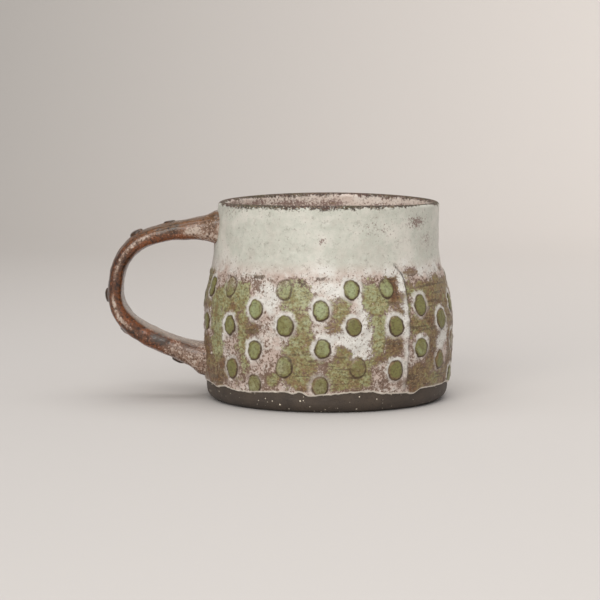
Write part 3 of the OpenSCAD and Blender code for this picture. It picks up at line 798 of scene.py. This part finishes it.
def makeWallCoat():
    around = wallCoat["around"]
    angle = (np.arange(around) * 360 / around)[None, :]
    edge = lowerEdge(angle)
    close = wallCoat["closeRows"]
    last = close[-1]                        # above this the rows spread out evenly to the seam
    length = form["seamZ"] - wallCoat["edgeZ"]
    steps = int((length - last) / wallCoat["rowStep"])
    up = np.concatenate([close, np.linspace(last, length, steps + 1)[1:]])[:, None]
    spread = edge + last + (form["seamZ"] - edge - last) * (up - last) / (length - last)
    z = np.where(up < last + 0.01, edge + up, spread)
    angle = np.broadcast_to(angle, z.shape)
    f = wallFields(angle, z)
    inside = rampUp(-f["dotOff"], -0.1, 0.75)
    ringHill = np.exp(-((f["dotOff"] - 0.75) / 0.6) ** 2)
    patchIn = rampUp(-f["patchOff"], -0.5, 0.6)
    patchRidge = np.exp(-((f["patchOff"] - 0.9) / 0.7) ** 2)
    lumps = lumpy(f["flat"], 4, 3, 7.7) * wallCoat["lumps"]
    rise = (wallCoat["dotRise"] * inside * np.clip(f["show"] + 0.2, 0, 1)
            + wallCoat["ringRise"] * ringHill * (0.4 + 0.6 * f["ring"])
            - wallCoat["dotMoat"] * np.exp(-((f["dotOff"] - 0.05) / 0.22) ** 2)
            + wallCoat["patchRise"] * patchIn + wallCoat["patchRidge"] * patchRidge * (1 - inside)
            + lumps * (1 - 0.7 * inside) * (1 - 0.4 * patchIn)
            + wallCoat["fineLumps"] * lumpy(f["flat"], 1.3, 2, 4.4))
    left = np.exp(np.minimum(f["lapAt"], 0) / wallCoat["lapWide"]) * (f["lapAt"] <= 0)
    drop = rampUp(f["lapAt"], 0.7, 0.0) * (f["lapAt"] > 0)
    lift = wallCoat["lapRise"] * f["lapOn"] * (left + drop)
    lift = lift * (1 - 0.4 * rampUp(z, 50, 54))
    groove = wallCoat["lapGroove"] * np.exp(-((f["lapAt"] - 0.85) / 0.4) ** 2)
    groove = groove * f["lapOn"] * rampUp(z, 30, 44)
    rise = rise * rampUp(z, form["seamZ"], form["seamZ"] - 3.5) + lift \
        - groove * rampUp(z, form["seamZ"], 52)
    above = z - edge
    thick = np.interp(above, [0, 0.1, 0.25, 0.45, 0.9], [0.04, 0.26, 0.42, 0.55, 0.6])
    bead = wallCoat["beadRise"] * np.exp(-((above - 0.55) / 0.35) ** 2)
    r = clayR(z) + thick + bead + rise * rampUp(above, 0, 1.6)
    outer = onBody(angle, z, r)
    innerZ = edge + (form["seamZ"] - edge) * np.linspace(1, 0, 24)[:, None]
    inner = onBody(np.broadcast_to(angle[:1], innerZ.shape), innerZ, clayR(innerZ) - 0.02)
    # painted shade on the dots' dark edge line, heavier on the side away from the light; the line itself is
    # the glaze breaking thin at the dot's edge
    shadeLine = clamp01(0.75 + 0.45 * f["shade"] + 0.45 * lumpy(f["flat"], 3, 2, 8.8))
    # painted highlight: the white ring of pooled glaze is made stronger on the upper left of each dot,
    # towards the light
    ring = rampUp(f["dotOff"], -0.1, 0.15) * clamp01(0.75 - 0.5 * f["shade"])
    flap = np.exp(-((f["lapAt"] + 0.6) / 0.9) ** 2) * (0.65 + 0.7 * lumpy(f["flat"], 5, 2, 3.9))
    # painted shade along the open slit of the lap, darker towards its top
    slitShadeWide = 0.35 + 0.2 * rampUp(z, 44, 52)
    slitShade = np.exp(-((f["lapAt"] - 0.8) / slitShadeWide) ** 2) * (0.3 + 0.7 * rampUp(z, 42, 50))
    marks = dict(
        dotOff=np.clip(f["dotOff"], -4, 4), dotTone=f["tone"], dotShow=f["show"],
        dotLineAndShade=shadeLine * clamp01(0.3 + f["show"]), ring=f["ring"] * ring,
        patchOff=np.clip(f["patchOff"], -6, 6), tone=f["patchTone"],
        grit=clamp01(f["grit"] + 0.35 * lumpy(f["flat"], 7, 2, 6.6)), cool=np.clip(-f["grit"], -0.5, 1),
        flap=clamp01(f["lapOn"] * flap), slitShade=clamp01(f["lapOn"] * slitShade),
        brownMark=f["brown"], aboveEdge=above, collarward=rampUp(z, 50.5, 54.5))
    makePiece("wallGlaze", [np.concatenate([outer, inner])], wallFinish, "wall_glaze",
              marks=marks, sharp=75)


makeWallCoat()


# angle, height, half width and half height in mm, strength
collarStains = [
    (-79, 64.8, 2.6, 1.6, 0.62), (50, 73, 6, 2.4, 0.62), (-3.2, 66.3, 1.5, 1.2, 0.62),
    (-88, 57, 1.6, 8, 0.66), (43.6, 54.4, 3.6, 1.1, 0.85), (74.5, 54.4, 2.8, 0.8, 0.75),
    (-62, 76, 5, 2, 0.32), (60, 66, 5, 3, 0.36), (24, 71, 8, 2.4, 0.28), (160, 62, 4, 2, 0.32),
    (205, 70, 5, 3, 0.32),
]
# the same on the inside, by the depth below the crest instead of the height
linerStains = [
    (203, 4.2, 11, 1.4, 0.72), (177, 4.4, 7, 1.5, 0.76), (226, 3.6, 9, 1.8, 0.68),
    (190, 5, 8, 1.2, 0.66), (148, 4.8, 9, 1.2, 0.64), (248, 3, 9, 2.4, 0.66), (130, 4, 6, 1.2, 0.6),
    (60, 9, 5, 4, 0.5), (20, 12, 6, 5, 0.45),
]

collarCoat = dict(around=480, rowStep=0.6, unevenness=0.14, lumps=0.05, brushing=0.04, lapRise=0.5,
                  lipBand=1.35, rootZ=68.2)


# how strongly the brown lip shows, from the distance in mm from its crest
def lipBrown(angle, away):
    here = onBody(angle, 78 + 0 * away, 44.0)
    turn = (angle + 180) % 360 - 180
    wavy = 0.5 * lumpy(here, 14, 2, 8.1) + 0.35 * lumpy(here, 3, 2, 2.2)
    # wider at the front left, narrower at the front right
    sided = 0.45 * np.exp(-((turn + 25) / 40) ** 2) - 0.6 * np.exp(-((turn - 55) / 30) ** 2)
    reach = collarCoat["lipBand"] * (1 + wavy + sided)
    return clamp01(1.15 - 0.75 * np.maximum(0, away) / np.maximum(0.4, reach)) * rampUp(away, 5, 3)


def makeCollarCoat():
    around = collarCoat["around"]
    angle = (np.arange(around) * 360 / around)[None, :]
    rows = int((lipZ - form["seamZ"]) / collarCoat["rowStep"])
    outline = face(skinR, form["seamZ"], lipZ, rows) \
        + arc(lipMid, lipZ, form["lipT"] / 2 + form["glazeT"], 8, 90, 9)
    back = arc(lipMid, lipZ, form["lipT"] / 2 - 0.02, 90, 0, 6) \
        + face(clayR, lipZ - 1, form["seamZ"], 16, -0.02)
    outline, back = np.array(outline), np.array(back)
    r, z = outline[:, :1], outline[:, 1:]
    angleAll = np.broadcast_to(angle, (len(outline), around))
    plain = onBody(angleAll, z, r)
    soft = rampUp(z, form["seamZ"], form["seamZ"] + 4) * rampUp(z, lipZ + 0.5, lipZ - 4)
    rise = soft * (collarCoat["unevenness"] * lumpy(plain, 11, 2, 1.9)
                   + collarCoat["lumps"] * lumpy(plain, 3, 2, 3.3)
                   + collarCoat["brushing"] * lumpy(plain * [0.2, 0.2, 1], 1.8, 3, 4.2))
    lap = arcOff(angleAll, eased(z, wallCoat["lapZ"], wallCoat["lapAngle"]))
    lapOn = rampUp(z, 58.5, 56)
    left = np.where(lap <= 0, np.exp(np.minimum(lap, 0) / 3), rampUp(lap, 0.7, 0.0))
    rise = rise + collarCoat["lapRise"] * lapOn * left * rampUp(z, 57.5, 54)
    # painted shade in the open slit of the lap, where it runs up into the collar
    slitShade = lapOn * np.exp(-((lap - 0.5) / 0.42) ** 2) * (z < 57.6)
    outer = onBody(angleAll, z, r + rise)
    inner = onBody(angle, back[:, 1:], back[:, :1])
    rootGap = np.hypot(arcOff(angleAll, 270) / 11, (z - collarCoat["rootZ"]) / 7)
    stain = 0.45 * rampUp(rootGap, 1.5, 0.9)        # brown round the handle's upper root
    for a, h, wide, high, strength in collarStains:
        rho = (arcOff(angleAll, a) / wide) ** 2 + ((z - h) / high) ** 2
        stain = np.maximum(stain, strength * np.exp(-rho * 0.7))
    marks = dict(lip=lipBrown(angleAll, form["topZ"] - z + 0 * angleAll), stain=stain, slitShade=slitShade)
    makePiece("collarGlaze", [np.concatenate([outer, inner])], collarFinish, "collar_glaze",
              marks=marks, sharp=60)


linerCoat = dict(around=360, unevenness=0.15, blotchDepth=7, hub=2)


def makeLiner():
    around = linerCoat["around"]
    angle = (np.arange(around) * 360 / around)[None, :]
    floorZ, coilZ = form["floorZ"], form["floorZ"] + form["coilR"]
    onFloor = floorZ + form["glazeT"]
    wet = arc(lipMid, lipZ, form["lipT"] / 2 + form["glazeT"], 90, 180, 10) \
        + face(innerR, lipZ - 0.6, coilZ, 60, -form["glazeT"]) + coilFace(form["glazeT"]) \
        + [(30, onFloor), (15, onFloor), (linerCoat["hub"], onFloor)]
    back = [(linerCoat["hub"], floorZ + 0.02), (30, floorZ + 0.02)] + coilFace(0.02)[::-1] \
        + face(innerR, coilZ, lipZ, 20, -0.02) + arc(lipMid, lipZ, form["lipT"] / 2 + 0.02, 170, 90, 4)
    wet, back = np.array(wet), np.array(back)
    r, z = wet[:, :1], wet[:, 1:]
    soft = linerCoat["unevenness"] * rampUp(z, lipZ + 0.5, lipZ - 4) * (r > 20)
    wetRings = onBody(angle, z, r - soft * lumpy(onBody(angle, z, r), 12, 2, 6.1))
    depth = form["topZ"] - z + 0 * angle
    stain = 0.25 * rampUp(depth, linerCoat["blotchDepth"], 2) * (0.75 + 0.7 * lumpy(wetRings, 6, 2, 9.1))
    for a, h, wide, high, strength in linerStains:
        rho = (arcOff(angle, a) * 0.9 / wide) ** 2 + ((depth - h) / high) ** 2
        stain = np.maximum(stain, strength * np.exp(-rho * 0.7))
    marks = dict(lip=lipBrown(angle + 0 * depth, depth), stain=clamp01(stain))
    # rings in a loop from the lip down to the floor's middle and back, closed by caps there
    order = np.concatenate([wetRings, onBody(angle, back[:, 1:], back[:, :1])])
    unseen = np.zeros((len(back), around))
    marks = {k: np.roll(np.vstack([v, unseen]), -len(wet), 0) for k, v in marks.items()}
    makePiece("linerGlaze", [np.roll(order, -len(wet), 0)], linerFinish, "liner_glaze",
              marks=marks, loop=False, sharp=60)


makeCollarCoat()
makeLiner()


strapForm = dict(
    outX=-85.2, upperZ=68.2, lowerZ=15.4, bury=6, atWall=0.08, flarePower=7,
    strapW=17, strapT=4.8, swell=1.6, rootW=20, rootT=11, cornerPower=0.62,
    rows=260, around=96, lumps=0.22, fineLumps=0.05, fillet=0.5,
)
# how milky the strap is along its length, and how far that spreads from the middle of its side: partly
# white glaze wiped thin, partly a painted highlight along the strap
strapMilkAndSheen = dict(
    at=[0.08, 0.2, 0.3, 0.42, 0.52, 0.85, 0.97, 1.08, 1.3, 1.45, 1.62, 1.76, 1.95],
    strength=[0.46, 0.46, 0.16, 0.1, 0.36, 0.32, 0.08, 0.38, 0.3, 0.14, 0.08, 0.34, 0.36],
    spreadAt=[0.1, 0.3, 1.6, 1.8], spread=[0.8, 0.3, 0.3, 1.4],
)
# places along the strap; radius, height and the mound of glaze round each in mm
buttonForm = dict(
    places=[0.34, 0.57, 1.03, 1.36, 1.79], radius=[2.4, 2.9, 2.9, 2.2, 2.9],
    height=[0.7, 1.3, 1.3, 0.7, 1.2], around=48, rows=12, sunk=0.9, lumps=0.12, mound=0.35,
    rusty=-0.35, mossy=0.3,
)


# the strap's middle line, from the upper root (0) by its outermost point (1) to the lower root (2)
def strapPoint(s):
    k = strapForm
    midZ = (k["upperZ"] + k["lowerZ"]) / 2 + 1
    top, low = -float(skinR(k["upperZ"])) + k["bury"], -float(skinR(k["lowerZ"])) + k["bury"]
    upper = np.array([(top, k["upperZ"] + 0.6), (top - 26, k["upperZ"] - 0.6),
                      (k["outX"], k["upperZ"] - 0.8), (k["outX"], midZ)])
    lower = np.array([(k["outX"], midZ), (k["outX"], midZ - 16),
                      (k["outX"] + 16, k["lowerZ"] + 8), (low, k["lowerZ"] - 1.6)])
    c, t = (upper, s) if s < 1 else (lower, s - 1)
    return (1 - t) ** 3 * c[0] + 3 * t * (1 - t) ** 2 * c[1] + 3 * t * t * (1 - t) * c[2] + t ** 3 * c[3]


def strapHeading(s):
    d = strapPoint(min(2, s + 0.01)) - strapPoint(max(0, s - 0.01))
    return d / np.linalg.norm(d)


def strapSize(s):
    k = strapForm
    share = min(1, abs(s - 1) / (1 - k["atWall"])) ** k["flarePower"]
    swell = k["swell"] * (1 if s >= 1 else 0.4) * math.sin(math.pi * s) ** 2
    return (k["strapT"] + (k["rootT"] - k["strapT"]) * share + swell) / 2, \
        (k["strapW"] + (k["rootW"] - k["strapW"]) * share) / 2


# rings round the strap, laid against the wall where they would enter it
def strapRings(rows, around, grow, shaped):
    turn = np.arange(around) * 2 * math.pi / around
    bulge = lambda v: np.sign(v) * np.abs(v) ** strapForm["cornerPower"]
    across, wide = bulge(np.cos(turn)), bulge(np.sin(turn))
    rings = np.zeros((rows, around, 3))
    outs = np.zeros((rows, 2))
    for i, s in enumerate(np.linspace(0, 2, rows)):
        p, h = strapPoint(s), strapHeading(s)
        t, w = strapSize(s)
        out = np.array([h[1], -h[0]])
        outs[i] = out
        gap = abs(p[0]) - float(skinR(p[1]))
        fillet = shaped * strapForm["fillet"] * clamp01(1 - gap / 4.5) ** 2
        rings[i, :, 0] = p[0] + out[0] * across * (t + grow + fillet)
        rings[i, :, 1] = wide * (w + grow + fillet)
        rings[i, :, 2] = p[1] + out[1] * across * (t + grow + fillet)
    if shaped:
        sideways = np.broadcast_to(np.sin(turn), (rows, around))
        normal = np.stack([outs[:, :1] * across, sideways, outs[:, 1:] * across], -1)
        push = strapForm["lumps"] * lumpy(rings, 7, 2, 2.7) \
            + strapForm["fineLumps"] * lumpy(rings, 1.6, 2, 5.1)
        for place, radius in zip(buttonForm["places"], buttonForm["radius"]):
            centre = strapPoint(place)
            near = np.hypot(rings[..., 0] - centre[0], rings[..., 2] - centre[1])
            near = np.hypot(near, rings[..., 1])
            push += buttonForm["mound"] * np.exp(-(near / (radius + 2.6)) ** 4) * (across > 0)
        rings += normal * push[..., None]
    wall = clayR(np.clip(rings[..., 2], 0, form["topZ"])) + 0.1 + grow * 0.3
    wallX = -np.sqrt(np.maximum(0, wall ** 2 - rings[..., 1] ** 2))
    wallX += eased(rings[..., 2], form["leanZ"], form["leanX"])
    rings[..., 0] = np.minimum(rings[..., 0], wallX)
    return rings, across, wide


def makeStrap():
    clay, _, _ = strapRings(120, 48, -0.05, 0)
    makePiece("strapClay", [clay], clayFinish, "handle", loop=False)
    rows, around = strapForm["rows"], strapForm["around"]
    outer, across, wide = strapRings(rows, around, form["glazeT"], 1)
    inner, _, _ = strapRings(80, around, 0.0, 0)
    s = np.linspace(0, 2, rows)[:, None]
    v = across[None, :]
    side = rampUp(np.abs(wide[None, :]), 0.5, 0.85)
    blur = lumpy(outer, 8, 3, 7.9)
    milkAndSheenStreak = eased(s, strapMilkAndSheen["at"], strapMilkAndSheen["strength"])
    spread = eased(s, strapMilkAndSheen["spreadAt"], strapMilkAndSheen["spread"])
    middle = 0.15 + 0.1 * blur - 0.35 * rampUp(s, 0.4, 0.22)
    # the milky streak: partly wiped white glaze, partly a painted highlight along the strap's side
    milky = side * milkAndSheenStreak * np.exp(-((v - middle) / spread) ** 2) * (1 + 0.3 * blur)
    milky = np.maximum(milky, 0.32 * rampUp(s, 1.68, 1.82) * (0.8 + 0.4 * blur))
    rusty = 0.12 + 0.35 * rampUp(v, 0.3, 0.9) * rampUp(s, 1.1, 1.4) + 0.25 * blur \
        + 0.2 * rampUp(s, 0.9, 0.3)
    rusty = rusty + 0.25 * rampUp(-v, 0.2, 0.8)
    mossy = 0.9 * rampUp(s, 0.75, 0.35) * rampUp(v, -0.4, 0.6)
    # the pale inner edge of the lower half, partly pale glaze and partly a painted reflection, and one
    # slate blue patch near the lower root
    pale = 0.75 * rampUp(-v, 0.75, 0.97) * rampUp(s, 0.85, 1.05) * rampUp(s, 1.98, 1.8) \
        * (0.8 + 0.3 * blur)
    slate = np.exp(-((s - 1.62) / 0.07) ** 4 - ((v + 0.3) / 0.45) ** 4) * side * 0.85
    marks = dict(milky=milky, rusty=rusty, mossy=mossy, pale=clamp01(pale), slate=clamp01(slate))
    marks = {k: np.broadcast_to(m, (rows, around)) for k, m in marks.items()}
    makePiece("strapGlaze", [np.concatenate([outer, inner[::-1]])], strapFinish,
              "handle_glaze", marks=marks, sharp=70)


def makeButtons():
    k = buttonForm
    turn = np.arange(k["around"]) * 2 * math.pi / k["around"]
    blocks = []
    for place, radius, height in zip(k["places"], k["radius"], k["height"]):
        p, h = strapPoint(place), strapHeading(place)
        out, along = np.array([h[1], 0, -h[0]]), np.array([h[0], 0, h[1]])
        base = np.array([p[0], 0, p[1]]) + out * (strapSize(place)[0] + form["glazeT"])
        ring = np.cos(turn)[:, None] * along + np.sin(turn)[:, None] * np.array([0, 1, 0])
        rings = [base - out * k["sunk"] + ring * radius]
        for a in np.linspace(0, math.pi / 2 * 0.96, k["rows"]):
            up = 0.1 + height * math.sin(a) ** 0.8
            rings.append(base + out * up + ring * radius * math.cos(a) ** 0.7)
        block = np.array(rings)
        block += out * (k["lumps"] * lumpy(block, 2.4, 2, place))[..., None]
        blocks.append(block)
    points = sum(block[..., 0].size + 2 for block in blocks)
    marks = dict(rusty=np.full(points, k["rusty"]), mossy=np.full(points, k["mossy"]))
    makePiece("strapButtons", blocks, strapFinish, "handle_buttons",
              marks=marks, loop=False, sharp=60)


makeStrap()
makeButtons()


# metres and watts; painted light on the paper: it is painted darker to the left and lighter towards the
# right, as if a window were there
studio = dict(
    floorShadedLeft="#bab6b3", floorLitRight="#cbc6c2", backShadedLeft="#b1aca7", backLitRight="#dfd8d2",
    nearY=-3, wallY=1.3, high=3, halfWidth=4, curve=0.6, shadeToLightX=(-0.28, 0.25), fadeY=(0.1, 0.8),
    tooth=0.5, bumpDepth=0.05, bumpStrength=0.2, roughness=0.9,     # mm, as in the glazes
    world="#e2e2e4", worldPower=0.66,
)
lamps = dict(
    windowLight=dict(place=(-0.36, -1.3, 0.8), size=1.0, power=13.8, colour="#fffdf8", aim=(0, 0, 0.04)),
    ceilingLight=dict(place=(0.1, 0.1, 1.4), size=1.6, power=13, colour="#fffefc", aim=(0, 0, 0)),
)
view = dict(lens=144, sensor=36, place=(-0.01114, -0.96274, 0.13938), down=5.947, near=0.05, far=20)


def makeStage():
    wallY, curve, half = studio["wallY"], studio["curve"], studio["halfWidth"]
    bend = [(wallY - curve + curve * math.sin(a), curve * (1 - math.cos(a)))
            for a in np.linspace(0, math.pi / 2, 16)]
    sweep = [(studio["nearY"], 0)] + bend + [(wallY, studio["high"])]
    verts = [(x, y, z) for x in (-half, half) for y, z in sweep]
    n = len(sweep)
    mesh = bpy.data.meshes.new("paperSweep")
    mesh.from_pydata(verts, [], [(i, i + n, i + n + 1, i + 1) for i in range(n - 1)])
    mesh.shade_smooth()
    paper, tree, at = newMaterial("mattPaper")
    tooth = addNode(tree, "TexNoise", {"Vector": at, "Scale": perMm(studio["tooth"]), "Detail": 2})
    back = addNode(tree, "SeparateXYZ", {"Vector": at}, out="Y")
    back = addNode(tree, "MapRange", {"Value": back, "From Min": studio["fadeY"][0],
                                      "From Max": studio["fadeY"][1]})
    across = addNode(tree, "SeparateXYZ", {"Vector": at}, out="X")
    across = addNode(tree, "MapRange", {"Value": across, "From Min": studio["shadeToLightX"][0],
                                        "From Max": studio["shadeToLightX"][1]})
    # painted light and shade: darker paper at the left, lighter at the right
    left = addNode(tree, "MixRGB", {"Fac": back, "Color1": studio["floorShadedLeft"],
                                    "Color2": studio["backShadedLeft"]})
    right = addNode(tree, "MixRGB", {"Fac": back, "Color1": studio["floorLitRight"],
                                     "Color2": studio["backLitRight"]})
    tone = addNode(tree, "MixRGB", {"Fac": across, "Color1": left, "Color2": right})
    finishMaterial(tree, tone, tooth, studio, {"Roughness": studio["roughness"]})
    mesh.materials.append(paper)
    sweepObject = bpy.data.objects.new("paperSweep", mesh)
    bpy.context.scene.collection.objects.link(sweepObject)


def addLamp(name, place, size, power, colour, aim):
    lamp = bpy.data.lights.new(name, "AREA")
    lamp.shape, lamp.size, lamp.energy, lamp.color = "SQUARE", size, power, sRgb(colour)[:3]
    lampObject = bpy.data.objects.new(name, lamp)
    bpy.context.scene.collection.objects.link(lampObject)
    lampObject.location = place
    away = lampObject.location - Vector(aim)
    lampObject.rotation_euler = away.to_track_quat("Z", "Y").to_euler()


def addWorld():
    world = bpy.data.worlds.new("softRoom")
    world.use_nodes = True
    sky = world.node_tree.nodes["Background"].inputs
    sky["Color"].default_value = sRgb(studio["world"])
    sky["Strength"].default_value = studio["worldPower"]
    bpy.context.scene.world = world


def addCamera():
    lens = bpy.data.cameras.new("mugCamera")
    lens.lens, lens.sensor_width = view["lens"], view["sensor"]
    lens.clip_start, lens.clip_end = view["near"], view["far"]
    camera = bpy.data.objects.new("mugCamera", lens)
    bpy.context.scene.collection.objects.link(camera)
    camera.location = view["place"]
    camera.rotation_euler = (math.radians(90 - view["down"]), 0, 0)
    bpy.context.scene.camera = camera
    bpy.context.scene.view_settings.view_transform = "Standard"


makeStage()
for name, lamp in lamps.items():
    addLamp(name, **lamp)
addWorld()
addCamera()
print("paper, lamps and camera ready")
